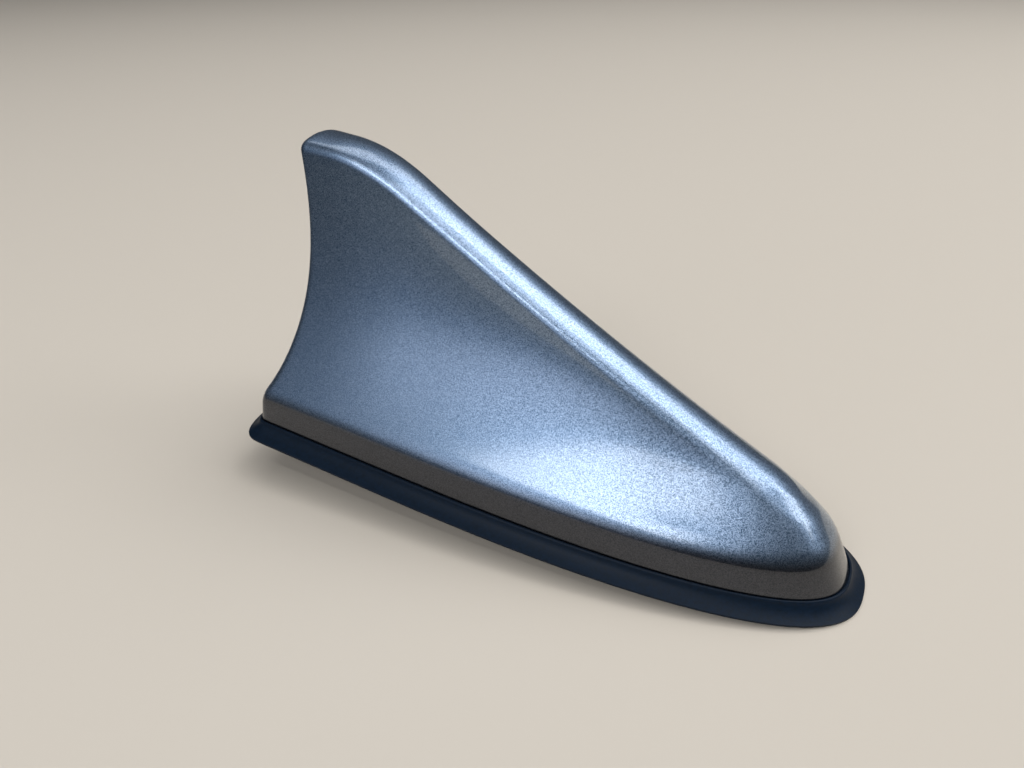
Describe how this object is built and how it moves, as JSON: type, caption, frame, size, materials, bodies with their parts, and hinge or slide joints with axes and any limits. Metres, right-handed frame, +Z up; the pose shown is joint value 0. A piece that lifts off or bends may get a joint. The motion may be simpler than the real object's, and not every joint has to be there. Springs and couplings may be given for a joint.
{
  "type": "roof aerial",
  "caption": "Swept fin-shaped roof aerial: painted moulded cover on a flared rubber gasket, over a cast base with a threaded boss, locating pins, plug-in socket and aerial boards inside",
  "frame": {"origin": "where the axis of the roof fixing meets the roof's outer face, which is the plane of the gasket's underside", "axes": "+X towards the tail, with the low nose at -X; +Y towards the vehicle's right when the nose faces forward; +Z up, away from the roof"},
  "size_m": [0.1692, 0.0632, 0.0901],
  "materials": {
    "cover_paint": "metallic paint under clear lacquer",
    "gasket_rubber": "satin moulded rubber",
    "cast_base": "as die-cast",
    "bush_steel": "turned and zinc plated",
    "seal_rubber": "satin",
    "zinc_screw": "yellow zinc plated",
    "black_moulding": "moulded",
    "spring_steel": "plated spring steel",
    "vent_film": "porous film",
    "board": "solder mask",
    "bright_screw": "bright zinc plated",
    "tinned_can": "tinned",
    "tape": "foam tape",
    "ceramic": "fired ceramic",
    "tinned_pin": "tinned",
    "tinned_sheet": "tinned sheet",
    "foam": "open cell foam",
    "former_moulding": "moulded",
    "enamelled_wire": "enamelled copper",
    "contact_metal": "plated",
    "socket_moulding": "moulded",
    "socket_rubber": "satin"
  },
  "bodies": {
    "root": {"fin_cover": "cover_paint", "base_gasket": "gasket_rubber", "base_plate": "cast_base", "fixing_bush": "bush_steel", "cover_seal": "seal_rubber", "cover_screws": "zinc_screw", "locating_pins": "black_moulding", "earth_ring": "spring_steel", "vent_membrane": "vent_film", "main_board": "board", "board_screws": "bright_screw", "shield_can": "tinned_can", "patch_tape": "tape", "ceramic_patch": "ceramic", "patch_pin": "tinned_pin", "fin_holder": "black_moulding", "holder_screws": "bright_screw", "fin_board": "board", "top_plate": "tinned_sheet", "top_foam": "foam", "coil_former": "former_moulding", "coil_winding": "enamelled_wire", "contact_spring": "contact_metal", "phone_element": "tinned_sheet", "coax_socket": "socket_moulding", "coax_contacts": "contact_metal", "socket_seal": "socket_rubber"}
  },
  "joints": []
}
